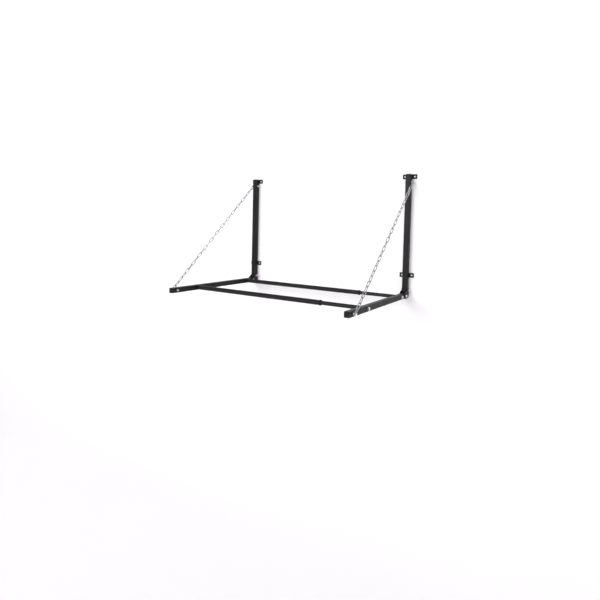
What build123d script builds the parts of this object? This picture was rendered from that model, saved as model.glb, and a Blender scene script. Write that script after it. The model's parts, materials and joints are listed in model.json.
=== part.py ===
from build123d import *

import os
from math import pi
from math import sin

# Wall rack for stored tyres: two uprights, two fold-up arms, two telescoping
# cross bars and a pair of stay chains.
#
# Frame: X along the wall, +Y into the wall, +Z up, millimetres. The origin is
# on the wall, at the centre of the rectangle of wall slots. The rack stands out
# of the wall towards -Y. Everything is drawn with the arms down and the cross
# bars drawn part way out.

# ---- Driving dimensions, in millimetres ------------------------------------

# Whole rack
RAIL_SPACING = 1082.0          # upright centre to upright centre, as drawn
SLOT_ROW_SPACING = 548.0       # upper wall slots to lower wall slots

# Wall plates, welded to the backs of the uprights
PLATE_WIDTH = 84.0
PLATE_HEIGHT = 26.0
PLATE_THICKNESS = 3.0
PLATE_RISE = 5.0               # top wall plate past the top of the upright tube
PLATE_CORNER = 4.0
PLATE_CHAMFER = 0.5
SLOT_OFFSET = 28.0             # slot centre from the upright's centre
SLOT_LENGTH = 13.0
SLOT_WIDTH = 8.5

# Uprights
UPRIGHT_SIZE = 30.0
TUBE_WALL = 1.5
TUBE_CORNER = 3.0
UPRIGHT_BOTTOM_GAP = 3.0       # above the top of the arm

# Arms
ARM_SIZE = 28.0
ARM_DROP = 111.0               # arm centre line below the lower wall slots
ARM_FRONT = 700.0              # front end of the arm tube from the wall
ARM_REAR = 11.0                # rear end of the arm tube from the wall
ARM_HOLE_FIRST = 101.0         # first hole from the wall
ARM_HOLE_PITCH = 105.0
ARM_HOLE_COUNT = 5

# Hinge plates: heights are from the arm's centre line
PIVOT_DEPTH = 50.0             # pivot axis from the wall
BRACKET_BOLT_RISE = 28.0       # upper hinge bolt
HINGE_SHEET = 2.5
HINGE_CORNER = 4.0
HINGE_WALL_GAP = 1.0           # behind the plates, past the wall plates' thickness
HINGE_TOP = 40.0
HINGE_TOP_WIDTH = 18.0
HINGE_NOSE = 14.0              # in front of the pivot axis
HINGE_FOOT = 15.0
HINGE_HEEL = 8.0               # cut off the rear bottom corner
SHIM_PLAY = 0.05               # each side of the washers between arm and plates

# Cross bars
OUTER_BAR_DIAMETER = 25.0
INNER_BAR_DIAMETER = 20.0
OUTER_BAR_LENGTH = 827.0
INNER_BAR_LENGTH = 700.0
END_PLUG_LENGTH = 24.0
COLLAR_DIAMETER = 28.0
COLLAR_LENGTH = 9.0
COLLAR_LIP = 2.0
COLLAR_CHAMFER = 0.8
BUSH_FLANGE = 6.0
BUSH_STUB = 14.0
BAR_SLIDE_PLAY = 0.2           # all round, between an inner bar's guides and an outer bar's

# Chains
CHAIN_TOP_DROP = 32.0          # top chain bolt below the upper wall slots
CHAIN_ARM_DEPTH = 672.0        # arm chain bolt from the wall
CHAIN_PLANE_OFFSET = 24.5      # chain centre plane from the upright's centre
LINK_COUNT = 29
UPPER_LINK_COUNT = 15
LINK_WIRE = 4.0
LINK_INNER_WIDTH = 8.0
LINK_PLAY = 0.3                # free play between two links of the taut chain
LINK_TWIST = 38.0              # most that the chain turns about its own line, degrees

# Fasteners: M8 in the hinges and bars, M6 at the chains
M8 = {"shank": 8.0, "flats": 13.0, "head": 5.3, "nut": 8.0, "washer": 16.0, "sheet": 1.6}
M6 = {"shank": 6.0, "flats": 10.0, "head": 4.0, "nut": 6.0, "washer": 12.0, "sheet": 1.2}
BOLT_CLEARANCE = 0.4           # hole diameter over the shank
PIVOT_CLEARANCE = 0.2          # the same in the arm, which turns on its bolt
PIVOT_SLEEVE_DIAMETER = 12.0
THREAD_END_CHAMFER = 0.6
THREAD_PAST_NUT = 2.0
THREAD_SHORT_OF_PLUG = 4.0     # bar bolt's end inside its plug
HEAD_CHAMFER = 0.5
NUT_HEXAGON_SHARE = 0.72
NUT_PLAY = 0.1                 # drawn round a shank in a nut or plug, in place of a thread
CHAIN_SPACER_DIAMETER = 11.0

# Plastic caps
CAP_HEAD = 3.0                 # head of the arms' square caps
CAP_RIM = 1.5                  # straight rim under the uprights' domed caps
CAP_DOME = 3.0
CAP_DOME_TAPER = 50.0          # degrees
CAP_EDGE_RADIUS = 1.0
CAP_STUB = 16.0
CAP_FIN_COUNT = 3
CAP_FIN = 1.4
CAP_FIN_REACH = 2.5

# ---- Places worked out from the dimensions ---------------------------------

UPPER_SLOT_Z = SLOT_ROW_SPACING / 2
LOWER_SLOT_Z = -SLOT_ROW_SPACING / 2
ARM_Z = LOWER_SLOT_Z - ARM_DROP
UPRIGHT_TOP_Z = UPPER_SLOT_Z + PLATE_HEIGHT / 2 - PLATE_RISE
UPRIGHT_BOTTOM_Z = ARM_Z + ARM_SIZE / 2 + UPRIGHT_BOTTOM_GAP
UPRIGHT_Y = -PLATE_THICKNESS - UPRIGHT_SIZE / 2
PIVOT_Y = -PIVOT_DEPTH
BRACKET_BOLT_Z = ARM_Z + BRACKET_BOLT_RISE
CHAIN_TOP_Z = UPPER_SLOT_Z - CHAIN_TOP_DROP
CHAIN_ARM_Y = -CHAIN_ARM_DEPTH
ARM_HOLE_YS = [-ARM_HOLE_FIRST - ARM_HOLE_PITCH * step for step in range(ARM_HOLE_COUNT)]
REAR_BAR_Y = ARM_HOLE_YS[0]
FRONT_BAR_Y = ARM_HOLE_YS[-1]
SIDES = {"left": -1, "right": 1}


def save(part, name):
    """Name a finished piece and write it."""
    part.label = name
    export_step(part, f"parts/{name}.step")


def seat_plane(side, facing, offset, y, z):
    """A plane square to X, facing out of the rack (1) or into it (-1).

    The offset is measured that way from the side's centre line. The plane's
    own x axis lies along Y and its own y axis is always up.
    """
    turned = side * facing
    return Plane(
        origin=(side * RAIL_SPACING / 2 + turned * offset, y, z),
        x_dir=(0, turned, 0),
        z_dir=(turned, 0, 0),
    )


# ---- Fasteners and rings ----------------------------------------------------
# Each is drawn on a seat plane and stands on the side that the plane faces.


def hex_bolt(seat, size, length):
    """A bolt whose head stands on the seat and whose shank goes below it."""
    outward = Axis(seat.origin, seat.z_dir)
    with BuildPart() as bolt:
        with BuildSketch(seat):
            RegularPolygon(size["flats"] / 2, 6, major_radius=False)
        extrude(amount=size["head"])
        chamfer(bolt.faces().sort_by(outward)[-1].edges(), HEAD_CHAMFER)
        with BuildSketch(seat):
            Circle(size["shank"] / 2)
        extrude(amount=-length)
        chamfer(bolt.faces().sort_by(outward)[0].edges(), THREAD_END_CHAMFER)
    return bolt.part


def lock_nut(seat, size):
    """A locking nut: a hexagon with a round collar on it."""
    hexagon = size["nut"] * NUT_HEXAGON_SHARE
    bore = size["shank"] / 2 + NUT_PLAY
    with BuildPart() as nut:
        with BuildSketch(seat):
            RegularPolygon(size["flats"] / 2, 6, major_radius=False)
            Circle(bore, mode=Mode.SUBTRACT)
        extrude(amount=hexagon)
        with BuildSketch(seat.offset(hexagon)):
            Circle(size["flats"] / 2 - HEAD_CHAMFER)
            Circle(bore, mode=Mode.SUBTRACT)
        extrude(amount=size["nut"] - hexagon)
    return nut.part


def ring(seat, outer, inner, thickness):
    """A washer, spacer, sleeve or plug, given by its two diameters."""
    with BuildPart() as part:
        with BuildSketch(seat):
            Circle(outer / 2)
            Circle(inner / 2, mode=Mode.SUBTRACT)
        extrude(amount=thickness)
    return part.part


def washer(seat, size):
    return ring(seat, size["washer"], size["shank"] + BOLT_CLEARANCE, size["sheet"])


def save_group(name, pieces):
    """Write one node that holds several separate pieces."""
    with BuildPart() as group:
        for piece in pieces:
            add(piece)
    save(group.part, name)


# ---- Uprights and their wall plates -----------------------------------------


def make_upright_tube(name, side):
    with BuildPart() as tube:
        with BuildSketch(Plane.XY.offset(UPRIGHT_BOTTOM_Z)):
            with Locations((side * RAIL_SPACING / 2, UPRIGHT_Y)):
                bore = UPRIGHT_SIZE - 2 * TUBE_WALL
                RectangleRounded(UPRIGHT_SIZE, UPRIGHT_SIZE, TUBE_CORNER)
                RectangleRounded(bore, bore, TUBE_CORNER - TUBE_WALL, mode=Mode.SUBTRACT)
        extrude(amount=UPRIGHT_TOP_Z - UPRIGHT_BOTTOM_Z)
        for hole_z, shank in [(BRACKET_BOLT_Z, M8["shank"]), (CHAIN_TOP_Z, M6["shank"])]:
            with BuildSketch(seat_plane(side, 1, UPRIGHT_SIZE, UPRIGHT_Y, hole_z)):
                Circle((shank + BOLT_CLEARANCE) / 2)
            extrude(amount=-2 * UPRIGHT_SIZE, mode=Mode.SUBTRACT)
    save(tube.part, name)


def make_wall_plate(name, side, z):
    """A flat plate against the wall with a level slot on each side of the upright."""
    wall = Plane(origin=(side * RAIL_SPACING / 2, 0, z), x_dir=(1, 0, 0), z_dir=(0, -1, 0))
    with BuildPart() as plate:
        with BuildSketch(wall):
            RectangleRounded(PLATE_WIDTH, PLATE_HEIGHT, PLATE_CORNER)
            with Locations((-SLOT_OFFSET, 0), (SLOT_OFFSET, 0)):
                SlotOverall(SLOT_LENGTH, SLOT_WIDTH, mode=Mode.SUBTRACT)
        extrude(amount=PLATE_THICKNESS)
        chamfer(plate.faces().sort_by(Axis.Y)[0].outer_wire().edges(), PLATE_CHAMFER)
    save(plate.part, name)


def make_tube_cap(name, mouth, size, head, dome):
    """A push-in cap: a head on the tube's mouth and a finned stub inside it."""
    bore = size - 2 * TUBE_WALL
    fin_pitch = CAP_STUB / CAP_FIN_COUNT
    outward = Axis(mouth.origin, mouth.z_dir)
    with BuildPart() as cap:
        with BuildSketch(mouth):
            RectangleRounded(size, size, TUBE_CORNER)
        extrude(amount=head)
        if dome:
            with BuildSketch(mouth.offset(head)):
                RectangleRounded(size, size, TUBE_CORNER)
            extrude(amount=dome, taper=CAP_DOME_TAPER)
        fillet(cap.faces().sort_by(outward)[-1].edges(), CAP_EDGE_RADIUS)
        with BuildSketch(mouth):
            RectangleRounded(bore - 2 * CAP_FIN_REACH, bore - 2 * CAP_FIN_REACH, TUBE_CORNER)
        extrude(amount=-CAP_STUB)
        for fin in range(CAP_FIN_COUNT):
            with BuildSketch(mouth.offset(-(fin + 1) * fin_pitch)):
                RectangleRounded(bore, bore, TUBE_CORNER - TUBE_WALL)
            extrude(amount=CAP_FIN)
    save(cap.part, name)


# ---- Hinges -----------------------------------------------------------------


def make_hinge_plate(name, side, facing):
    """One of the two plates that clasp the upright's foot and the arm."""
    inner_face = seat_plane(side, facing, UPRIGHT_SIZE / 2, 0, ARM_Z)
    turned = side * facing
    rear = -PLATE_THICKNESS - HINGE_WALL_GAP
    outline = [
        (rear, HINGE_TOP),
        (rear - HINGE_TOP_WIDTH, HINGE_TOP),
        (PIVOT_Y - HINGE_NOSE / 2, ARM_SIZE / 2),
        (PIVOT_Y - HINGE_NOSE, 0),
        (PIVOT_Y - HINGE_NOSE, -HINGE_FOOT),
        (rear - HINGE_HEEL, -HINGE_FOOT),
        (rear, 0),
    ]
    with BuildPart() as plate:
        with BuildSketch(inner_face) as profile:
            with BuildLine():
                Polyline([(turned * y, z) for y, z in outline], close=True)
            make_face()
            fillet(profile.vertices(), HINGE_CORNER)
            bolt_places = [(turned * PIVOT_Y, 0), (turned * UPRIGHT_Y, BRACKET_BOLT_RISE)]
            with Locations(bolt_places):
                Circle((M8["shank"] + BOLT_CLEARANCE) / 2, mode=Mode.SUBTRACT)
        extrude(amount=HINGE_SHEET)
    save(plate.part, name)


def make_hinge_fasteners(side_name, side):
    """The pivot bolt and the bolt above it, with their nuts and washers."""
    face = UPRIGHT_SIZE / 2 + HINGE_SHEET
    under_head = face + M8["sheet"]
    length = 2 * under_head + M8["nut"] + THREAD_PAST_NUT
    bolts = []
    nuts = []
    washers = []
    for y, z in [(PIVOT_Y, ARM_Z), (UPRIGHT_Y, BRACKET_BOLT_Z)]:
        bolts.append(hex_bolt(seat_plane(side, 1, under_head, y, z), M8, length))
        nuts.append(lock_nut(seat_plane(side, -1, under_head, y, z), M8))
        washers.append(washer(seat_plane(side, 1, face, y, z), M8))
        washers.append(washer(seat_plane(side, -1, face, y, z), M8))
    save_group(f"{side_name}_hinge_bolts", bolts)
    save_group(f"{side_name}_hinge_nuts", nuts)
    save_group(f"{side_name}_hinge_washers", washers)
    side_gap = (UPRIGHT_SIZE - ARM_SIZE) / 2
    shims = []
    for facing in (1, -1):
        seat = seat_plane(side, facing, ARM_SIZE / 2 + SHIM_PLAY, PIVOT_Y, ARM_Z)
        bore = M8["shank"] + BOLT_CLEARANCE
        shims.append(ring(seat, M8["washer"], bore, side_gap - 2 * SHIM_PLAY))
    save_group(f"{side_name}_pivot_shims", shims)


# ---- Arms -------------------------------------------------------------------


def make_arm_tube(name, side):
    front = Plane(
        origin=(side * RAIL_SPACING / 2, -ARM_FRONT, ARM_Z),
        x_dir=(1, 0, 0),
        z_dir=(0, -1, 0),
    )
    with BuildPart() as tube:
        with BuildSketch(front):
            bore = ARM_SIZE - 2 * TUBE_WALL
            RectangleRounded(ARM_SIZE, ARM_SIZE, TUBE_CORNER)
            RectangleRounded(bore, bore, TUBE_CORNER - TUBE_WALL, mode=Mode.SUBTRACT)
        extrude(amount=-(ARM_FRONT - ARM_REAR))
        holes = [(hole_y, M8["shank"] + BOLT_CLEARANCE) for hole_y in ARM_HOLE_YS]
        holes.append((PIVOT_Y, M8["shank"] + PIVOT_CLEARANCE))
        holes.append((CHAIN_ARM_Y, M6["shank"] + BOLT_CLEARANCE))
        for hole_y, diameter in holes:
            with BuildSketch(seat_plane(side, 1, ARM_SIZE, hole_y, ARM_Z)):
                Circle(diameter / 2)
            extrude(amount=-2 * ARM_SIZE, mode=Mode.SUBTRACT)
    save(tube.part, name)


def make_pivot_sleeve(name, side):
    """The sleeve across the inside of the arm that turns on the pivot bolt."""
    inside = ARM_SIZE / 2 - TUBE_WALL
    seat = seat_plane(side, -1, -inside, PIVOT_Y, ARM_Z)
    sleeve = ring(seat, PIVOT_SLEEVE_DIAMETER, M8["shank"] + PIVOT_CLEARANCE, 2 * inside)
    save(sleeve, name)


# ---- Cross bars -------------------------------------------------------------


def make_bar_tube(name, side, y, diameter, length):
    """A round tube from the inner face of one side's arm towards the other arm."""
    seat = seat_plane(side, -1, ARM_SIZE / 2, y, ARM_Z)
    save(ring(seat, diameter, diameter - 2 * TUBE_WALL, length), name)


def make_bar_fixings(side_name, side, diameter):
    """What holds one end of both bars: threaded plugs, bolts and washers."""
    bore = diameter - 2 * TUBE_WALL
    under_head = ARM_SIZE / 2 + M8["sheet"]
    length = under_head + ARM_SIZE / 2 + END_PLUG_LENGTH - THREAD_SHORT_OF_PLUG
    plugs = []
    bolts = []
    washers = []
    for y in (REAR_BAR_Y, FRONT_BAR_Y):
        plug_seat = seat_plane(side, -1, ARM_SIZE / 2, y, ARM_Z)
        plugs.append(ring(plug_seat, bore, M8["shank"] + 2 * NUT_PLAY, END_PLUG_LENGTH))
        bolts.append(hex_bolt(seat_plane(side, 1, under_head, y, ARM_Z), M8, length))
        washers.append(washer(seat_plane(side, 1, ARM_SIZE / 2, y, ARM_Z), M8))
    save_group(f"{side_name}_bar_end_plugs", plugs)
    save_group(f"{side_name}_bar_bolts", bolts)
    save_group(f"{side_name}_bar_bolt_washers", washers)


def guide_collar(y):
    """The plastic collar on the open end of an outer bar, a slide for the inner bar."""
    tube_end = seat_plane(-1, -1, ARM_SIZE / 2 + OUTER_BAR_LENGTH, y, ARM_Z)
    grip = COLLAR_LENGTH - COLLAR_LIP
    with BuildPart() as collar:
        with BuildSketch(tube_end.offset(-grip)):
            Circle(COLLAR_DIAMETER / 2)
            Circle(OUTER_BAR_DIAMETER / 2, mode=Mode.SUBTRACT)
        extrude(amount=grip)
        with BuildSketch(tube_end):
            Circle(COLLAR_DIAMETER / 2)
            Circle(INNER_BAR_DIAMETER / 2 + BAR_SLIDE_PLAY, mode=Mode.SUBTRACT)
        extrude(amount=COLLAR_LIP)
        rims = collar.edges().filter_by(GeomType.CIRCLE)
        chamfer(rims.group_by(SortBy.RADIUS)[-1], COLLAR_CHAMFER)
    return collar.part


def slide_bush(y):
    """The bush pushed on the hidden end of an inner bar, inside the outer bar."""
    bar_end = seat_plane(1, -1, ARM_SIZE / 2 + INNER_BAR_LENGTH, y, ARM_Z)
    bore = INNER_BAR_DIAMETER - 2 * TUBE_WALL
    outer = OUTER_BAR_DIAMETER - 2 * TUBE_WALL - 2 * BAR_SLIDE_PLAY
    with BuildPart() as bush:
        with BuildSketch(bar_end):
            Circle(outer / 2)
            Circle(bore / 2 - TUBE_WALL, mode=Mode.SUBTRACT)
        extrude(amount=BUSH_FLANGE)
        with BuildSketch(bar_end.offset(-BUSH_STUB)):
            Circle(bore / 2)
            Circle(bore / 2 - TUBE_WALL, mode=Mode.SUBTRACT)
        extrude(amount=BUSH_STUB)
    return bush.part


# ---- Chains -----------------------------------------------------------------


def chain_link(pitch):
    """One ring of wire, lying flat with its length along X."""
    half_straight = (pitch + LINK_PLAY - LINK_INNER_WIDTH) / 2
    bend = (LINK_INNER_WIDTH + LINK_WIRE) / 2
    with BuildPart() as link:
        with BuildLine() as wire_line:
            Line((0, -bend), (half_straight, -bend))
            ThreePointArc((half_straight, -bend), (half_straight + bend, 0), (half_straight, bend))
            Line((half_straight, bend), (-half_straight, bend))
            ThreePointArc((-half_straight, bend), (-half_straight - bend, 0), (-half_straight, -bend))
            Line((-half_straight, -bend), (0, -bend))
        with BuildSketch(Plane(origin=(0, -bend, 0), z_dir=(1, 0, 0))):
            Circle(LINK_WIRE / 2)
        sweep(path=wire_line.wires()[0])
    return link.part


def make_chain(side_name, side):
    """A taut chain from the upright to the arm, in two runs that meet half way.

    Each ring stands square to the one before it, and the chain as a whole
    turns a little about its own line between its two flat end rings.
    """
    x = side * (RAIL_SPACING / 2 + CHAIN_PLANE_OFFSET)
    top = Vector(x, UPRIGHT_Y, CHAIN_TOP_Z)
    run = Vector(x, CHAIN_ARM_Y, ARM_Z) - top
    along = run.normalized()
    overhang = M6["shank"] / 2 + LINK_PLAY
    pitch = (run.length + 2 * overhang) / LINK_COUNT
    ring_shape = chain_link(pitch)
    rings = []
    for place in range(LINK_COUNT):
        centre = top + along * (pitch * (place + 0.5) - overhang)
        wander = LINK_TWIST * sin(pi * place / (LINK_COUNT - 1)) ** 2
        facing = Vector(1, 0, 0).rotate(Axis((0, 0, 0), along), 90 * place + wander)
        rings.append(ring_shape.moved(Plane(origin=centre, x_dir=along, z_dir=facing).location))
    save_group(f"{side_name}_chain_upper_run", rings[:UPPER_LINK_COUNT])
    save_group(f"{side_name}_chain_lower_run", rings[UPPER_LINK_COUNT:])
    return run.length, pitch


def make_chain_fixing(name, side, tube_size, y, z):
    """A chain bolt through a tube, with its spacer, washers and nut."""
    wire_side = LINK_WIRE / 2 + LINK_PLAY
    under_head = CHAIN_PLANE_OFFSET + wire_side + M6["sheet"]
    inner_seat = tube_size / 2 + M6["sheet"]
    length = under_head + inner_seat + M6["nut"] + THREAD_PAST_NUT
    spacer_length = CHAIN_PLANE_OFFSET - wire_side - tube_size / 2
    spacer_seat = seat_plane(side, 1, tube_size / 2, y, z)
    bore = M6["shank"] + BOLT_CLEARANCE
    save(hex_bolt(seat_plane(side, 1, under_head, y, z), M6, length), f"{name}_bolt")
    save(lock_nut(seat_plane(side, -1, inner_seat, y, z), M6), f"{name}_nut")
    save_group(
        f"{name}_spacer_and_washers",
        [
            ring(spacer_seat, CHAIN_SPACER_DIAMETER, bore, spacer_length),
            washer(seat_plane(side, 1, CHAIN_PLANE_OFFSET + wire_side, y, z), M6),
            washer(seat_plane(side, -1, tube_size / 2, y, z), M6),
        ],
    )


# ---- The whole rack ---------------------------------------------------------

os.makedirs("parts", exist_ok=True)

for side_name, side in SIDES.items():
    centre_x = side * RAIL_SPACING / 2
    make_upright_tube(f"{side_name}_upright_tube", side)
    make_wall_plate(f"{side_name}_top_wall_plate", side, UPPER_SLOT_Z)
    make_wall_plate(f"{side_name}_lower_wall_plate", side, LOWER_SLOT_Z)
    upright_mouth = Plane(origin=(centre_x, UPRIGHT_Y, UPRIGHT_TOP_Z))
    make_tube_cap(f"{side_name}_upright_cap", upright_mouth, UPRIGHT_SIZE, CAP_RIM, CAP_DOME)

    make_hinge_plate(f"{side_name}_outer_hinge_plate", side, 1)
    make_hinge_plate(f"{side_name}_inner_hinge_plate", side, -1)
    make_hinge_fasteners(side_name, side)

    make_arm_tube(f"{side_name}_arm_tube", side)
    make_pivot_sleeve(f"{side_name}_pivot_sleeve", side)
    front_mouth = Plane(
        origin=(centre_x, -ARM_FRONT, ARM_Z), x_dir=(1, 0, 0), z_dir=(0, -1, 0)
    )
    rear_mouth = Plane(
        origin=(centre_x, -ARM_REAR, ARM_Z), x_dir=(1, 0, 0), z_dir=(0, 1, 0)
    )
    make_tube_cap(f"{side_name}_arm_front_cap", front_mouth, ARM_SIZE, CAP_HEAD, 0)
    make_tube_cap(f"{side_name}_arm_rear_cap", rear_mouth, ARM_SIZE, CAP_HEAD, 0)

    upright_bolt_name = f"{side_name}_upright_chain"
    make_chain_fixing(upright_bolt_name, side, UPRIGHT_SIZE, UPRIGHT_Y, CHAIN_TOP_Z)
    make_chain_fixing(f"{side_name}_arm_chain", side, ARM_SIZE, CHAIN_ARM_Y, ARM_Z)
    chain_length, link_pitch = make_chain(side_name, side)

make_bar_fixings("left", -1, OUTER_BAR_DIAMETER)
make_bar_fixings("right", 1, INNER_BAR_DIAMETER)
for bar_name, bar_y in [("rear", REAR_BAR_Y), ("front", FRONT_BAR_Y)]:
    outer_name = f"{bar_name}_bar_outer_tube"
    inner_name = f"{bar_name}_bar_inner_tube"
    make_bar_tube(outer_name, -1, bar_y, OUTER_BAR_DIAMETER, OUTER_BAR_LENGTH)
    make_bar_tube(inner_name, 1, bar_y, INNER_BAR_DIAMETER, INNER_BAR_LENGTH)
save_group("bar_guide_collars", [guide_collar(REAR_BAR_Y), guide_collar(FRONT_BAR_Y)])
save_group("bar_slide_bushes", [slide_bush(REAR_BAR_Y), slide_bush(FRONT_BAR_Y)])

print(f"chain, bolt to bolt: {chain_length:.1f} mm, one ring every {link_pitch:.2f} mm")
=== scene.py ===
# The looks of a folding wall rack for tyres: satin black powder coat, black
# plastic caps, bright zinc bolts and nuts, and stay chains of zinc plated wire.
# Lengths are in metres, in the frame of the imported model: X along the wall,
# +Y into the wall, +Z up, with the wall at Y 0.

import json
import random
from math import cos, exp, pi, radians, sin, tan

import bmesh
import bpy
from mathutils import Matrix, Quaternion, Vector

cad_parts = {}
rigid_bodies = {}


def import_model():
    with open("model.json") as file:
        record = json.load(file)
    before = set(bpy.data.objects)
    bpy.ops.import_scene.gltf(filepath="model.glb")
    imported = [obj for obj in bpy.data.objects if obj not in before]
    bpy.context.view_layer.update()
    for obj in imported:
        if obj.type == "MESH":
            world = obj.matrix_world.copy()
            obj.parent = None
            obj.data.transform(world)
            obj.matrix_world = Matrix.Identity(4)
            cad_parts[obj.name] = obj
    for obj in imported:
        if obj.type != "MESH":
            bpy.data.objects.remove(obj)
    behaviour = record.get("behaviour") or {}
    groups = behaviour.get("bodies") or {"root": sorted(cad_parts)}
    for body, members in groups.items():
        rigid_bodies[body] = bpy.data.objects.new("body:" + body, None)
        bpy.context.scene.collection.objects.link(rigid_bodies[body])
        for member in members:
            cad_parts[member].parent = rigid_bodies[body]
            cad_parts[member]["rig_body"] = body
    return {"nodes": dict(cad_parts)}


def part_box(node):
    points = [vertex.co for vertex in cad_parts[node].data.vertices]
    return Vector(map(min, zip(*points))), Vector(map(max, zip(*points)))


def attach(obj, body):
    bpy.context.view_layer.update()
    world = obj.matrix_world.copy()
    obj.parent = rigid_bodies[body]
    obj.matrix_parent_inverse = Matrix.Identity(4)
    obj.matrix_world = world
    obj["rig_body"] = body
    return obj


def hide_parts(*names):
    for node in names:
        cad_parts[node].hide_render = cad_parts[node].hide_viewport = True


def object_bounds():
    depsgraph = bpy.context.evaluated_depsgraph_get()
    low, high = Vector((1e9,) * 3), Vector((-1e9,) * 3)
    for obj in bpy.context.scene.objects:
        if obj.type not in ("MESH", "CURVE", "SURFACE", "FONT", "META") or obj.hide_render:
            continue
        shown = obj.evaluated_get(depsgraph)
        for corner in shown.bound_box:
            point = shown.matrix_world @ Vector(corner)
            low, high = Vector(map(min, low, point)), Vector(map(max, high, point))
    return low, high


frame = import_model()
cad_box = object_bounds()

MM = 0.001
SIDES = {"left": -1, "right": 1}  # which way along X is outwards

# ---- Camera -----------------------------------------------------------------

CAMERA_PLACE = (1.4029, -2.3196, -0.0175)
CAMERA_TURN = 28.99            # degrees, to the left of square on to the wall
CAMERA_DIP = 2.52              # degrees below level
CAMERA_ROLL = 1.60             # degrees
CAMERA_LENS = 26.26            # millimetres, on a 36 mm sensor
CAMERA_SENSOR = 36.0
CAMERA_SHIFT = (-0.0692, -0.0889)  # shares of the frame's width

# ---- Stage and light --------------------------------------------------------

WALL_GAP = 0.5 * MM            # behind the wall plates
WALL_TOP = 3.2
STAGE_HALF_WIDTH = 6.5
FLOOR_DEPTH = 1.25             # floor below the rack's lowest point
FLOOR_REACH = 7.5              # floor's front edge from the wall
SWEEP_RADIUS = 0.55
SWEEP_STEPS = 24
STUDIO_WHITE = (1.0, 0.985, 1.0, 1.0)
BACKDROP_GLOW = 0.16           # lifts the shadows on the wall
WORLD_STRENGTH = 0.32          # as light on the rack
WORLD_SEEN_STRENGTH = 0.9      # as the camera sees it, past the backdrop

# Name, offset from the rack's middle, width and height, watts. Each one faces the middle.
SOFTBOXES = [
    ("key", (-2.6, -8.2, 2.8), (4.6, 4.6), 480.0),
    ("fill", (3.4, -3.6, 1.4), (2.4, 2.4), 20.0),
    ("top", (0.2, -2.4, 2.9), (3.0, 1.6), 14.0),
]

# ---- Chains: the same ring and the same places as the CAD runs --------------

LINK_COUNTS = {"upper": 15, "lower": 14}
LINK_WIRE = 4.0 * MM
LINK_INNER_WIDTH = 8.0 * MM
LINK_PLAY = 0.3 * MM
LINK_TWIST = 38.0              # degrees, at the middle of the chain
CHAIN_BOLT_RADIUS = 3.0 * MM
LINK_AROUND = 16               # points round the wire
LINK_BEND_STEPS = 14
LINK_PLAIN_STEPS = 4           # along the plain straight
LINK_WELD_STEPS = 20           # along the straight that holds the butt weld
LINK_WELD_SWELL = 0.13         # share of the wire's radius
LINK_WELD_REACH = 1.1 * MM
LINK_JITTER = 2.5              # degrees, about the chain's own line

# ---- Bolts and nuts ---------------------------------------------------------

# A shank's radius, the width over a hexagon's flats, a head's height, a thread's pitch
M8 = {"radius": 4.0 * MM, "flats": 13.0 * MM, "head": 5.3 * MM, "pitch": 1.25 * MM}
M6 = {"radius": 3.0 * MM, "flats": 10.0 * MM, "head": 4.0 * MM, "pitch": 1.0 * MM}
FASTENER_AROUND = 48
THREAD_STEPS = 8               # rings of points in one pitch
THREAD_DEPTH = 0.61            # of the pitch
THREADED_TURNS = 13
THREAD_RUN_OUT = 1.5           # turns over which the thread fades in
THREAD_TIP = 0.5               # pitches left plain at the tip
THREAD_CREST = 0.1             # flat share of the crest
THREAD_FLANK = 1.2             # steepness of the sides
CORNER_ROUNDING = 0.985        # of a hexagon's corner radius
HEAD_CHAMFER_ANGLE = 30.0      # degrees
WASHER_FACE = 0.3 * MM
FLAT_SHARE = 0.475             # radius of a hexagon's flat top, over its flats
HEAD_FILLET = (0.1, 0.05)      # depth and width under a head, over the shank's radius
# The dish in a head, from its middle outwards: height over the head's, radius over the flats
HEAD_DISH = ((0.91, 0.2), (0.92, 0.3), (0.98, 0.345), (1.0, 0.37))
NUT_HEXAGON_SHARE = 0.72       # of the nut's height; its nylon ring stands above
NUT_PLAY = 0.1 * MM            # between a nut and its bolt
NUT_LEAD_IN = 0.06             # chamfer of the bore at the seat, over the height
# A nut's collar, from the hexagon over its rim to the nylon ring: height over the
# nut's, radius over the flats
NUT_COLLAR = (
    (NUT_HEXAGON_SHARE, 0.455),
    (0.9, 0.45),
    (0.98, 0.43),
    (1.0, 0.405),
    (0.985, 0.375),
    (0.94, 0.365),
    (0.96, 0.35),
)
NYLON_TOP = 0.96               # over the nut's height
NYLON_BORE_TOP = 0.93
NYLON_BORE_LIP = 0.02          # width over the nut's height
NYLON_ROWS = range(11, 15)     # of nut_rows

# ---- Welds ------------------------------------------------------------------

WELD_LEG = 3.0 * MM
WELD_RIPPLE = 1.9 * MM         # one ripple along the bead
WELD_RIPPLE_SWELL = 0.07       # of the leg
WELD_WAVER = 411.0             # radians along each metre of the bead
WELD_WAVER_SWELL = 0.03        # of the leg
WELD_THROAT = 0.62             # of the leg, at the middle of the bead's face
WELD_END = 0.25                # of the leg, at each end of a bead
WELD_TAPER = 5.0               # legs gained over a bead's whole length
WELD_MARGIN = 1.2 * MM         # bare plate past each end of a bead
WELD_STEPS = 72
WELD_TURNS = (0, 18, 36, 54, 72, 90)  # degrees across the bead's face
WELD_SINK = 0.2 * MM           # into the tube and the plate
WELD_SMOOTH_ANGLE = 60.0       # degrees

# ---- Colours ----------------------------------------------------------------

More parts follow.
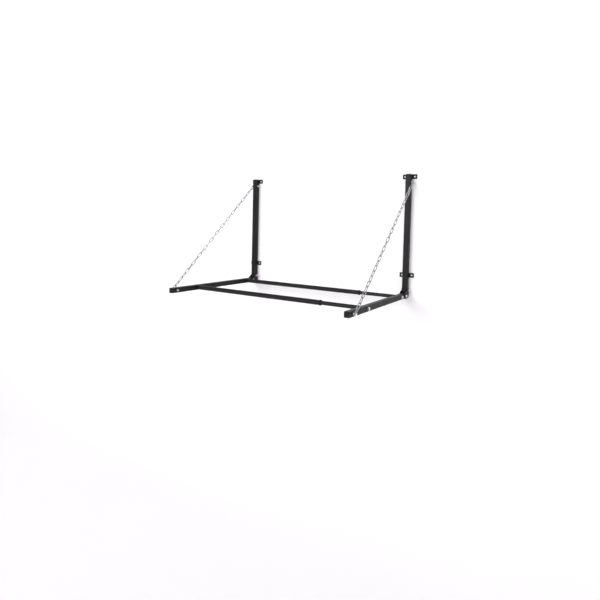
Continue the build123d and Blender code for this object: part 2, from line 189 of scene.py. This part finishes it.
PAINT_DARK = (0.0052, 0.005, 0.0053)
PAINT_PALE = (0.0085, 0.0081, 0.0086)
PAINT_SPECKLE = (0.026, 0.025, 0.0265)
PAINT_RUBBED = (0.05, 0.048, 0.05)
PLASTIC_DARK = (0.0042, 0.0042, 0.0045)
PLASTIC_PALE = (0.0068, 0.0068, 0.0072)
PLASTIC_WORN = (0.045, 0.045, 0.047)
ZINC_TARNISH = (0.56, 0.55, 0.5)
ZINC_RUBBED = (0.9, 0.9, 0.9)
# Painted shade: a near-black laid on the zinc inside joints, where less light reaches
CREVICE_SHADE = (0.03, 0.028, 0.025)
STEEL_DRY = (0.55, 0.545, 0.53)
STEEL_OILED = (0.4, 0.385, 0.36)
NYLON_DARK = (0.62, 0.66, 0.7)
NYLON_PALE = (0.74, 0.77, 0.79)
WALL_DARK = (0.865, 0.852, 0.868)
WALL_PALE = (0.885, 0.875, 0.888)

# ---- Edges and wear ---------------------------------------------------------

SMOOTH_ANGLE = 32.0            # degrees; a sharper edge stays a crease
MERGE_DISTANCE = 0.002 * MM    # joins the points of a CAD mesh's faces
BEVEL_ANGLE = 40.0             # degrees; a CAD node's sharper edges are rounded
BEVEL_SEGMENTS = 2
CREVICE_SHADE_REACH = 6.0 * MM         # how near another surface must be for the painted shade of a joint

# Width of the rounded edge, by the end of a CAD node's name
EDGE_WIDTHS = {
    "wall_plate": 0.45 * MM,
    "hinge_plate": 0.5 * MM,
    "washers": 0.25 * MM,
    "shims": 0.15 * MM,
}


# ---- Node materials ---------------------------------------------------------

EDGE_SAMPLES = 6
EDGE_AGREEMENT = (0.99, 0.86)  # of the rounded and the true normal, on a face and at an edge
CREVICE_SAMPLES = 8
CREVICE_OPENNESS = (0.9, 0.5)  # share of open sky, in the open and deep in a joint
MIX_COLOURS = (6, 7)           # the Mix node's inputs for two colours
MIX_RESULT = 2                 # and its output for a colour


class Material:
    """A node material with one Principled shader, built from short calls."""

    def __init__(self, name, **constants):
        self.material = bpy.data.materials.new(name)
        self.material.use_nodes = True
        self.tree = self.material.node_tree
        self.tree.nodes.clear()
        self.output = self.node("ShaderNodeOutputMaterial")
        self.shader = self.node("ShaderNodeBsdfPrincipled")
        self.wire(self.shader.outputs["BSDF"], self.output.inputs["Surface"])
        for socket, value in constants.items():
            self.shader.inputs[socket.replace("_", " ")].default_value = value
        self.coordinates = self.node("ShaderNodeTexCoord").outputs["Object"]

    def node(self, kind, values=None, **settings):
        made = self.tree.nodes.new(kind)
        for key, value in settings.items():
            setattr(made, key, value)
        for socket, value in (values or {}).items():
            made.inputs[socket].default_value = value
        return made

    def wire(self, source, target):
        self.tree.links.new(source, target)

    def stretched(self, scale):
        """Object coordinates, scaled differently along each axis."""
        mapping = self.node("ShaderNodeMapping", {"Scale": scale})
        self.wire(self.coordinates, mapping.inputs["Vector"])
        return mapping.outputs["Vector"]

    def noise(self, per_metre, detail=2.0, coordinates=None):
        made = self.node("ShaderNodeTexNoise", {"Scale": per_metre, "Detail": detail})
        self.wire(coordinates or self.coordinates, made.inputs["Vector"])
        return made.outputs["Fac"]

    def grain(self, per_metre):
        """Small rounded pits."""
        made = self.node("ShaderNodeTexVoronoi", {"Scale": per_metre}, feature="SMOOTH_F1")
        self.wire(self.coordinates, made.inputs["Vector"])
        return made.outputs["Distance"]

    def remap(self, source, low, high, to_low=0.0, to_high=1.0):
        made = self.node(
            "ShaderNodeMapRange",
            {"From Min": low, "From Max": high, "To Min": to_low, "To Max": to_high},
        )
        self.wire(source, made.inputs["Value"])
        return made.outputs["Result"]

    def math(self, operation, first, second):
        made = self.node("ShaderNodeMath", operation=operation)
        for socket, value in zip(made.inputs, (first, second)):
            if isinstance(value, float):
                socket.default_value = value
            else:
                self.wire(value, socket)
        return made.outputs["Value"]

    def blend(self, share, first, second):
        """A colour between two, each one a colour or another node's output."""
        made = self.node("ShaderNodeMix", data_type="RGBA")
        self.wire(share, made.inputs["Factor"])
        for place, value in zip(MIX_COLOURS, (first, second)):
            if isinstance(value, tuple):
                made.inputs[place].default_value = (*value, 1.0)
            else:
                self.wire(value, made.inputs[place])
        return made.outputs[MIX_RESULT]

    def edges(self, radius):
        """1 along the shape's sharp edges and 0 on its flat and round faces."""
        rounded = self.node("ShaderNodeBevel", {"Radius": radius}, samples=EDGE_SAMPLES)
        surface = self.node("ShaderNodeNewGeometry")
        agreement = self.node("ShaderNodeVectorMath", operation="DOT_PRODUCT")
        self.wire(rounded.outputs["Normal"], agreement.inputs[0])
        self.wire(surface.outputs["Normal"], agreement.inputs[1])
        return self.remap(agreement.outputs["Value"], *EDGE_AGREEMENT)

    def crevices(self, reach):
        """1 where something stands closer than reach, as inside joints, and 0 in the open."""
        openness = self.node(
            "ShaderNodeAmbientOcclusion", {"Distance": reach}, samples=CREVICE_SAMPLES
        )
        return self.remap(openness.outputs["AO"], *CREVICE_OPENNESS)

    def colour(self, source):
        self.wire(source, self.shader.inputs["Base Color"])

    def roughness(self, source):
        self.wire(source, self.shader.inputs["Roughness"])

    def bump(self, layers):
        """Stacks (height, depth in metres) layers, coarsest first."""
        below = None
        for height, depth in layers:
            made = self.node("ShaderNodeBump", {"Strength": 1.0, "Distance": depth})
            self.wire(height, made.inputs["Height"])
            if below is not None:
                self.wire(below, made.inputs["Normal"])
            below = made.outputs["Normal"]
        self.wire(below, self.shader.inputs["Normal"])


def paint_material(name, slides=False):
    """Charcoal powder coat: orange peel, fine grain, and edges rubbed a little lighter.

    A coat that slides inside another tube has faint streaks along the bar.
    """
    paint = Material(name, Specular_IOR_Level=0.22)
    cloud = paint.remap(paint.noise(7.0, 3.0), 0.35, 0.65)
    body = paint.blend(cloud, PAINT_DARK, PAINT_PALE)
    speckle = paint.remap(paint.noise(1900.0, 1.0), 0.55, 0.75)
    body = paint.blend(paint.math("MULTIPLY", speckle, 0.5), body, PAINT_SPECKLE)
    scuffs = paint.remap(paint.noise(160.0, 4.0), 0.42, 0.66, 0.25, 0.9)
    rubbed = paint.math("MULTIPLY", paint.edges(0.9 * MM), scuffs)
    paint.colour(paint.blend(rubbed, body, PAINT_RUBBED))
    gloss = paint.remap(paint.noise(24.0, 4.0), 0.3, 0.7, 0.42, 0.53)
    if slides:
        streaks = paint.noise(1.0, 3.0, paint.stretched((2.2, 900.0, 900.0)))
        gloss = paint.math("ADD", gloss, paint.remap(streaks, 0.4, 0.72, 0.0, -0.13))
    paint.roughness(paint.math("SUBTRACT", gloss, paint.math("MULTIPLY", rubbed, 0.08)))
    paint.bump(
        [
            (paint.noise(230.0, 1.5), 0.05 * MM),
            (paint.noise(1500.0, 1.0), 0.012 * MM),
        ]
    )
    return paint.material


def plastic_material(name):
    """Black moulded plastic with a fine eroded grain."""
    plastic = Material(name, Specular_IOR_Level=0.25)
    flow = plastic.remap(plastic.noise(60.0, 3.0), 0.35, 0.65)
    body = plastic.blend(flow, PLASTIC_DARK, PLASTIC_PALE)
    worn = plastic.math("MULTIPLY", plastic.edges(0.7 * MM), 0.6)
    plastic.colour(plastic.blend(worn, body, PLASTIC_WORN))
    plastic.roughness(plastic.remap(flow, 0.0, 1.0, 0.46, 0.6))
    plastic.bump(
        [
            (plastic.noise(320.0, 2.0), 0.03 * MM),
            (plastic.grain(1700.0), 0.03 * MM),
        ]
    )
    return plastic.material


def zinc_material(name, bright, dull, smooth, rough, crevice_shade_share):
    """Zinc plate: cloudy between two tones, with hair scratches and a fine grain.

    Bright and dull are colours, smooth and rough the roughness that goes with each,
    and the last is how far a painted shade, darker and rougher, fills the joints,
    where less light reaches.
    """
    zinc = Material(name, Metallic=1.0)
    cloud = zinc.remap(zinc.noise(210.0, 4.0), 0.32, 0.68)
    tarnish = zinc.remap(zinc.noise(38.0, 3.0), 0.5, 0.8, 0.0, 0.5)
    body = zinc.blend(cloud, dull, bright)
    body = zinc.blend(tarnish, body, ZINC_TARNISH)
    rubbed = zinc.math("MULTIPLY", zinc.edges(0.5 * MM), 0.5)
    body = zinc.blend(rubbed, body, ZINC_RUBBED)
    # Painted shade: the plate turns darker and rougher inside joints and recesses, where
    # nearby surfaces block the light
    crevice_shade = zinc.math("MULTIPLY", zinc.crevices(CREVICE_SHADE_REACH), crevice_shade_share)
    zinc.colour(zinc.blend(crevice_shade, body, CREVICE_SHADE))
    scratches = zinc.noise(1.0, 3.0, zinc.stretched((2600.0, 300.0, 420.0)))
    gloss = zinc.remap(cloud, 0.0, 1.0, rough, smooth)
    gloss = zinc.math("ADD", gloss, zinc.remap(scratches, 0.55, 0.75, 0.0, 0.12))
    zinc.roughness(zinc.math("ADD", gloss, zinc.math("MULTIPLY", crevice_shade, 0.25)))
    zinc.bump(
        [
            (zinc.noise(900.0, 3.0), 0.012 * MM),
            (scratches, 0.008 * MM),
        ]
    )
    return zinc.material


def turned_steel_material(name):
    """Plain steel with the fine rings of a lathe tool and a little oil."""
    steel = Material(name, Metallic=1.0)
    oil = steel.remap(steel.noise(120.0, 3.0), 0.4, 0.7)
    steel.colour(steel.blend(oil, STEEL_DRY, STEEL_OILED))
    rings = steel.noise(1.0, 2.0, steel.stretched((5200.0, 25.0, 25.0)))
    steel.roughness(steel.remap(rings, 0.3, 0.7, 0.24, 0.42))
    steel.bump([(rings, 0.01 * MM)])
    return steel.material


def nylon_material(name):
    """The milky locking ring of a nut."""
    nylon = Material(name, Subsurface_Weight=0.25, Subsurface_Scale=1.0 * MM)
    cloud = nylon.noise(500.0, 2.0)
    nylon.colour(nylon.blend(cloud, NYLON_DARK, NYLON_PALE))
    nylon.roughness(nylon.remap(cloud, 0.3, 0.7, 0.38, 0.5))
    nylon.bump([(nylon.noise(1400.0, 2.0), 0.01 * MM)])
    return nylon.material


def backdrop_material(name):
    """White wall paint, seen only from the rack's side of the wall."""
    white = Material(
        name,
        Roughness=0.9,
        Specular_IOR_Level=0.2,
        Emission_Color=STUDIO_WHITE,
        Emission_Strength=BACKDROP_GLOW,
    )
    cloud = white.noise(1.3, 2.0)
    white.colour(white.blend(cloud, WALL_DARK, WALL_PALE))
    white.bump([(white.noise(420.0, 2.0), 0.05 * MM)])
    side = white.node("ShaderNodeNewGeometry")
    clear = white.node("ShaderNodeBsdfTransparent")
    choice = white.node("ShaderNodeMixShader")
    white.wire(side.outputs["Backfacing"], choice.inputs["Fac"])
    white.wire(white.shader.outputs["BSDF"], choice.inputs[1])
    white.wire(clear.outputs["BSDF"], choice.inputs[2])
    white.wire(choice.outputs["Shader"], white.output.inputs["Surface"])
    return white.material


FINISHES = {
    "frame_paint": paint_material("satin_powder_coat"),
    "black_plastic": plastic_material("moulded_black_plastic"),
    "zinc_fasteners": zinc_material(
        "bright_zinc_plate",
        bright=(0.84, 0.85, 0.87),
        dull=(0.66, 0.67, 0.69),
        smooth=0.2,
        rough=0.36,
        # share of painted shade in the recesses under heads and washers
        crevice_shade_share=0.55,
    ),
    "zinc_chain": zinc_material(
        "zinc_plated_wire",
        bright=(0.76, 0.765, 0.78),
        dull=(0.32, 0.325, 0.335),
        smooth=0.14,
        rough=0.28,
        # share of painted shade where the links touch
        crevice_shade_share=0.95,
    ),
    "plain_steel": turned_steel_material("turned_steel"),
}
SLIDING_PAINT = paint_material("rubbed_powder_coat", slides=True)
NYLON = nylon_material("nylon_ring")


# ---- Mesh code --------------------------------------------------------------


def turned_ring(x, radius):
    """Points round the X axis. x and radius are numbers or functions of the angle."""
    points = []
    for step in range(FASTENER_AROUND):
        angle = 2 * pi * step / FASTENER_AROUND
        along = x(angle) if callable(x) else x
        out = radius(angle) if callable(radius) else radius
        points.append(Vector((along, out * cos(angle), out * sin(angle))))
    return points


class Skin:
    """Gathers the faces of one piece from rows of points, each row a closed ring."""

    def __init__(self):
        self.points = []
        self.faces = []
        self.finishes = []

    def add(self, rows, place, loop=False, second_finish=()):
        """Joins each row to the next, and the last to the first, or closes both ends.

        The rows of faces in second_finish get the piece's second material.
        """
        first = len(self.points)
        around = len(rows[0])
        count = len(rows)
        self.points += [place @ point for row in rows for point in row]
        for row in range(count if loop else count - 1):
            here = first + row * around
            there = first + (row + 1) % count * around
            finish = int(row in second_finish)
            for step in range(around):
                after = (step + 1) % around
                self.faces.append((here + step, here + after, there + after, there + step))
                self.finishes.append(finish)
        if not loop:
            last = first + (count - 1) * around
            self.faces.append(tuple(range(first, first + around)))
            self.faces.append(tuple(range(last, last + around)))
            self.finishes += [0, 0]

    def piece(self, name, materials, smooth_angle=SMOOTH_ANGLE):
        mesh = bpy.data.meshes.new(name)
        mesh.from_pydata(self.points, [], self.faces)
        mesh.polygons.foreach_set("material_index", self.finishes)
        shape = bmesh.new()
        shape.from_mesh(mesh)
        bmesh.ops.recalc_face_normals(shape, faces=shape.faces)
        shape.to_mesh(mesh)
        shape.free()
        mesh.shade_smooth()
        mesh.set_sharp_from_angle(angle=radians(smooth_angle))
        for material in materials:
            mesh.materials.append(material)
        made = bpy.data.objects.new(name, mesh)
        bpy.context.scene.collection.objects.link(made)
        return made


def body_of_node(node):
    return frame["nodes"][node]["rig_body"]


def stand_for(made, node):
    """The piece takes a CAD node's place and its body."""
    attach(made, body_of_node(node))
    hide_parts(node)


def centre_of(box):
    low, high = box
    return (low + high) / 2


def solids(node):
    """The box of each separate solid in a CAD node, in a fixed order."""
    shape = bmesh.new()
    shape.from_mesh(frame["nodes"][node].data)
    bmesh.ops.remove_doubles(shape, verts=shape.verts, dist=MERGE_DISTANCE)
    unseen = set(shape.verts)
    boxes = []
    while unseen:
        waiting = [unseen.pop()]
        points = []
        while waiting:
            vertex = waiting.pop()
            points.append(vertex.co.copy())
            for edge in vertex.link_edges:
                other = edge.other_vert(vertex)
                if other in unseen:
                    unseen.remove(other)
                    waiting.append(other)
        boxes.append((Vector(map(min, *points)), Vector(map(max, *points))))
    shape.free()
    return sorted(boxes, key=lambda box: tuple(box[0]))


# ---- Bolts and nuts ---------------------------------------------------------


def hexagon(flats):
    """A hexagon's radius as a function of the angle, its corners slightly rounded."""
    corner = flats / 2 / cos(pi / 6) * CORNER_ROUNDING
    return lambda angle: min(flats / 2 / cos(angle % (pi / 3) - pi / 6), corner)


def chamfered(flats, face, direction):
    """X of the curved edge that a 30 degree cone leaves on a hexagon's end face."""
    radius = hexagon(flats)
    slope = tan(radians(HEAD_CHAMFER_ANGLE)) * direction
    return lambda angle: face - (radius(angle) - FLAT_SHARE * flats) * slope


def bolt_rows(size, shank):
    """A hexagon bolt along X: its head above X 0, its threaded shank below."""
    flats, head, radius, pitch = size["flats"], size["head"], size["radius"], size["pitch"]
    flat = FLAT_SHARE * flats
    fillet_depth, fillet_width = (share * radius for share in HEAD_FILLET)
    rows = [turned_ring(up * head, out * flats) for up, out in HEAD_DISH]
    rows += [
        turned_ring(head, flat),
        turned_ring(chamfered(flats, head, 1), hexagon(flats)),
        turned_ring(WASHER_FACE, hexagon(flats)),
        turned_ring(WASHER_FACE, flat),
        turned_ring(0.0, flat),
        turned_ring(0.0, radius + fillet_width),
        turned_ring(-fillet_depth, radius),
    ]
    ring_step = pitch / THREAD_STEPS
    ring_count = THREADED_TURNS * THREAD_STEPS
    thread_start = -shank + THREAD_TIP * pitch + ring_count * ring_step
    for place in range(ring_count + 1):
        x = thread_start - place * ring_step
        fade = min(1.0, place / (THREAD_RUN_OUT * THREAD_STEPS))
        depth = THREAD_DEPTH * pitch * fade

        def thread(angle, x=x, depth=depth):
            turn = (x / pitch + angle / (2 * pi)) % 1.0
            valley = 1.0 - abs(2.0 * turn - 1.0)
            return radius - depth * min(1.0, max(0.0, THREAD_FLANK * (valley - THREAD_CREST)))

        rows.append(turned_ring(x, thread))
    rows.append(turned_ring(-shank, radius - THREAD_DEPTH * pitch))
    return rows


def nut_rows(size, height):
    """A locking nut along X, its seat at X 0, as one closed loop of rows."""
    flats, bore = size["flats"], size["radius"] + NUT_PLAY
    flat = FLAT_SHARE * flats
    hexagon_top = NUT_HEXAGON_SHARE * height
    rows = [
        turned_ring(NUT_LEAD_IN * height, bore),
        turned_ring(0.0, bore + NUT_LEAD_IN * height),
        turned_ring(0.0, flat),
        turned_ring(chamfered(flats, 0.0, -1), hexagon(flats)),
        turned_ring(chamfered(flats, hexagon_top, 1), hexagon(flats)),
        turned_ring(hexagon_top, flat),
    ]
    rows += [turned_ring(up * height, out * flats) for up, out in NUT_COLLAR]
    rows += [
        turned_ring(NYLON_TOP * height, bore + NYLON_BORE_LIP * height),
        turned_ring(NYLON_BORE_TOP * height, bore),
        turned_ring(hexagon_top, bore),
    ]
    return rows


def place_along_x(origin, outward, spin):
    """Puts a piece that is drawn along X at origin, pointing along +X or -X."""
    facing = Matrix.Rotation(0.0 if outward > 0 else pi, 4, "Z")
    return Matrix.Translation(origin) @ facing @ Matrix.Rotation(spin, 4, "X")


def make_bolts(node, side, size, chance):
    """Detailed bolts in place of a CAD node's, heads outwards."""
    skin = Skin()
    for low, high in solids(node):
        length = high.x - low.x
        origin = centre_of((low, high))
        origin.x += side * (length / 2 - size["head"])
        place = place_along_x(origin, side, chance.uniform(0, pi / 3))
        skin.add(bolt_rows(size, length - size["head"]), place)
    made = skin.piece(f"{node}_detailed", [FINISHES["zinc_fasteners"]])
    stand_for(made, node)


def make_nuts(node, side, size, chance):
    """Detailed locking nuts in place of a CAD node's, seats outwards."""
    skin = Skin()
    for low, high in solids(node):
        height = high.x - low.x
        origin = centre_of((low, high))
        origin.x += side * height / 2
        place = place_along_x(origin, -side, chance.uniform(0, pi / 3))
        skin.add(nut_rows(size, height), place, loop=True, second_finish=NYLON_ROWS)
    made = skin.piece(f"{node}_detailed", [FINISHES["zinc_fasteners"], NYLON])
    stand_for(made, node)


# ---- Chains -----------------------------------------------------------------


def link_rows(pitch):
    """One ring of wire in the XY plane, long way along X, with its butt weld."""
    half_straight = (pitch + LINK_PLAY - LINK_INNER_WIDTH) / 2
    bend = (LINK_INNER_WIDTH + LINK_WIRE) / 2
    stations = []
    for step in range(LINK_WELD_STEPS):
        x = half_straight * (2 * step / LINK_WELD_STEPS - 1)
        swell = LINK_WELD_SWELL * exp(-((x / LINK_WELD_REACH) ** 2))
        stations.append((Vector((x, -bend, 0)), Vector((0, -1, 0)), swell))
    for step in range(LINK_BEND_STEPS):
        angle = pi * (step / LINK_BEND_STEPS - 0.5)
        out = Vector((cos(angle), sin(angle), 0))
        stations.append((Vector((half_straight, 0, 0)) + bend * out, out, 0.0))
    for step in range(LINK_PLAIN_STEPS):
        x = half_straight * (1 - 2 * step / LINK_PLAIN_STEPS)
        stations.append((Vector((x, bend, 0)), Vector((0, 1, 0)), 0.0))
    for step in range(LINK_BEND_STEPS):
        angle = pi * (step / LINK_BEND_STEPS + 0.5)
        out = Vector((cos(angle), sin(angle), 0))
        stations.append((Vector((-half_straight, 0, 0)) + bend * out, out, 0.0))
    rows = []
    for centre, out, swell in stations:
        radius = LINK_WIRE / 2 * (1 + swell)
        row = []
        for step in range(LINK_AROUND):
            angle = 2 * pi * step / LINK_AROUND
            row.append(centre + radius * (cos(angle) * out + sin(angle) * Vector((0, 0, 1))))
        rows.append(row)
    return rows


def make_chain(side_name, chance):
    """Both runs of one stay chain, from the upright's bolt to the arm's."""
    top = centre_of(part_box(f"{side_name}_upright_chain_bolt"))
    bottom = centre_of(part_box(f"{side_name}_arm_chain_bolt"))
    top.x = bottom.x = centre_of(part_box(f"{side_name}_chain_upper_run")).x
    run = bottom - top
    along = run.normalized()
    overhang = CHAIN_BOLT_RADIUS + LINK_PLAY
    link_count = sum(LINK_COUNTS.values())
    pitch = (run.length + 2 * overhang) / link_count
    rows = link_rows(pitch)
    link = 0
    for run_name, count in LINK_COUNTS.items():
        skin = Skin()
        for _ in range(count):
            centre = top + along * (pitch * (link + 0.5) - overhang)
            wander = LINK_TWIST * sin(pi * link / (link_count - 1)) ** 2
            turned = 90 * link + wander + chance.uniform(-LINK_JITTER, LINK_JITTER)
            facing = Quaternion(along, radians(turned)) @ Vector((1, 0, 0))
            place = Matrix.Identity(4)
            for column, axis in enumerate((along, facing.cross(along), facing, centre)):
                for line in range(3):
                    place[line][column] = axis[line]
            flip = Matrix.Rotation(pi * chance.randrange(2), 4, "Z")
            skin.add(rows, place @ flip, loop=True)
            link += 1
        node = f"{side_name}_chain_{run_name}_run"
        made = skin.piece(f"{side_name}_chain_{run_name}_links", [FINISHES["zinc_chain"]])
        stand_for(made, node)


# ---- Welds ------------------------------------------------------------------


def bead_rows(side, low, high, chance):
    """A rippled fillet weld that climbs from low to high beside the Z axis.

    The tube's face is at X 0 and the plate's face at Y 0; side says which way
    the bead stands out from the tube.
    """
    rows = []
    wobble = chance.uniform(0, 2 * pi)
    for step in range(WELD_STEPS + 1):
        share = step / WELD_STEPS
        z = low + (high - low) * share
        ripple = WELD_RIPPLE_SWELL * sin(2 * pi * z / WELD_RIPPLE + wobble)
        waver = WELD_WAVER_SWELL * sin(WELD_WAVER * z + wobble)
        taper = min(1.0, WELD_END + WELD_TAPER * min(share, 1 - share))
        leg = WELD_LEG * (1 + ripple + waver) * taper
        row = [Vector((-side * WELD_SINK, WELD_SINK, z)), Vector((side * leg, WELD_SINK, z))]
        for turn in WELD_TURNS:
            swell = WELD_THROAT + (1 - WELD_THROAT) * abs(cos(radians(2 * turn)))
            out = side * leg * cos(radians(turn)) * swell
            row.append(Vector((out, -leg * sin(radians(turn)) * swell, z)))
        row.append(Vector((-side * WELD_SINK, -leg, z)))
        rows.append(row)
    return rows


def make_plate_welds(side_name, chance):
    """Two beads for each wall plate, down both sides of the upright."""
    tube_low, tube_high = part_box(f"{side_name}_upright_tube")
    for plate_name in ("top", "lower"):
        plate_low, plate_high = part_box(f"{side_name}_{plate_name}_wall_plate")
        top = min(plate_high.z, tube_high.z) - WELD_MARGIN
        skin = Skin()
        for side, x in ((-1, tube_low.x), (1, tube_high.x)):
            rows = bead_rows(side, plate_low.z + WELD_MARGIN, top, chance)
            skin.add(rows, Matrix.Translation((x, plate_low.y, 0)))
        name = f"{side_name}_{plate_name}_plate_welds"
        made = skin.piece(name, [FINISHES["frame_paint"]], WELD_SMOOTH_ANGLE)
        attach(made, body_of_node(f"{side_name}_upright_tube"))


# ---- CAD nodes that stay ----------------------------------------------------


def soften_edges(made, width):
    """Rounds a CAD node's sharp edges with modifiers, over its unchanged mesh."""
    merge = made.modifiers.new("merge", "WELD")
    merge.merge_threshold = MERGE_DISTANCE
    bevel = made.modifiers.new("edges", "BEVEL")
    bevel.width = width
    bevel.segments = BEVEL_SEGMENTS
    bevel.limit_method = "ANGLE"
    bevel.angle_limit = radians(BEVEL_ANGLE)
    normals = made.modifiers.new("normals", "WEIGHTED_NORMAL")
    normals.keep_sharp = True


def dress_cad_nodes():
    """Gives each CAD node its slot's finish, and the cut plates and washers soft edges."""
    for name, made in frame["nodes"].items():
        slot = made.data.materials[0].name.split(".")[0]
        material = SLIDING_PAINT if name.endswith("bar_inner_tube") else FINISHES[slot]
        made.data.materials.clear()
        made.data.materials.append(material)
        for ending, width in EDGE_WIDTHS.items():
            if name.endswith(ending):
                soften_edges(made, width)


# ---- Stage, lights and camera -----------------------------------------------


def make_backdrop():
    """A wall behind the rack that sweeps forward into the floor."""
    wall_y = cad_box[1].y + WALL_GAP
    floor_z = cad_box[0].z - FLOOR_DEPTH
    profile = [(wall_y, WALL_TOP)]
    for step in range(SWEEP_STEPS + 1):
        angle = radians(90 * step / SWEEP_STEPS)
        y = wall_y - SWEEP_RADIUS * (1 - cos(angle))
        profile.append((y, floor_z + SWEEP_RADIUS * (1 - sin(angle))))
    profile.append((-FLOOR_REACH, floor_z))
    points = []
    for y, z in profile:
        points += [(-STAGE_HALF_WIDTH, y, z), (STAGE_HALF_WIDTH, y, z)]
    faces = []
    for row in range(len(profile) - 1):
        here = 2 * row
        faces.append((here, here + 2, here + 3, here + 1))
    mesh = bpy.data.meshes.new("backdrop")
    mesh.from_pydata(points, [], faces)
    mesh.shade_smooth()
    mesh.materials.append(backdrop_material("white_wall"))
    backdrop = bpy.data.objects.new("backdrop", mesh)
    bpy.context.scene.collection.objects.link(backdrop)


def softbox(name, place, aim, size, watts):
    lamp = bpy.data.lights.new(name, "AREA")
    lamp.shape = "RECTANGLE"
    lamp.size, lamp.size_y = size
    lamp.energy = watts
    made = bpy.data.objects.new(name, lamp)
    made.location = place
    made.rotation_euler = (Vector(aim) - Vector(place)).to_track_quat("-Z", "Y").to_euler()
    made.visible_camera = False
    bpy.context.scene.collection.objects.link(made)


def make_world():
    """A dim room for the light, which looks pale past the edges of the backdrop."""
    world = bpy.data.worlds.new("studio")
    world.use_nodes = True
    nodes = world.node_tree.nodes
    rays = nodes.new("ShaderNodeLightPath")
    strength = nodes.new("ShaderNodeMapRange")
    strength.inputs["To Min"].default_value = WORLD_STRENGTH
    strength.inputs["To Max"].default_value = WORLD_SEEN_STRENGTH
    background = nodes["Background"]
    background.inputs["Color"].default_value = STUDIO_WHITE
    world.node_tree.links.new(rays.outputs["Is Camera Ray"], strength.inputs["Value"])
    world.node_tree.links.new(strength.outputs["Result"], background.inputs["Strength"])
    bpy.context.scene.world = world


def make_lights():
    middle = centre_of(cad_box)
    for name, offset, size, watts in SOFTBOXES:
        softbox(name, middle + Vector(offset), middle, size, watts)
    make_world()
    bpy.context.scene.view_settings.view_transform = "Standard"


def make_camera():
    lens = bpy.data.cameras.new("camera")
    lens.lens = CAMERA_LENS
    lens.sensor_width = CAMERA_SENSOR
    lens.shift_x, lens.shift_y = CAMERA_SHIFT
    camera = bpy.data.objects.new("camera", lens)
    camera.matrix_world = (
        Matrix.Translation(CAMERA_PLACE)
        @ Matrix.Rotation(radians(CAMERA_TURN), 4, "Z")
        @ Matrix.Rotation(radians(90 - CAMERA_DIP), 4, "X")
        @ Matrix.Rotation(radians(CAMERA_ROLL), 4, "Z")
    )
    bpy.context.scene.collection.objects.link(camera)
    bpy.context.scene.camera = camera


# ---- The whole scene --------------------------------------------------------

make_camera()
make_lights()
make_backdrop()
dress_cad_nodes()

for side_name, side in SIDES.items():
    chance = random.Random(f"{side_name} side")
    make_bolts(f"{side_name}_hinge_bolts", side, M8, chance)
    make_bolts(f"{side_name}_bar_bolts", side, M8, chance)
    make_nuts(f"{side_name}_hinge_nuts", side, M8, chance)
    for place_name in ("upright", "arm"):
        make_bolts(f"{side_name}_{place_name}_chain_bolt", side, M6, chance)
        make_nuts(f"{side_name}_{place_name}_chain_nut", side, M6, chance)
    make_chain(side_name, chance)
    make_plate_welds(side_name, chance)
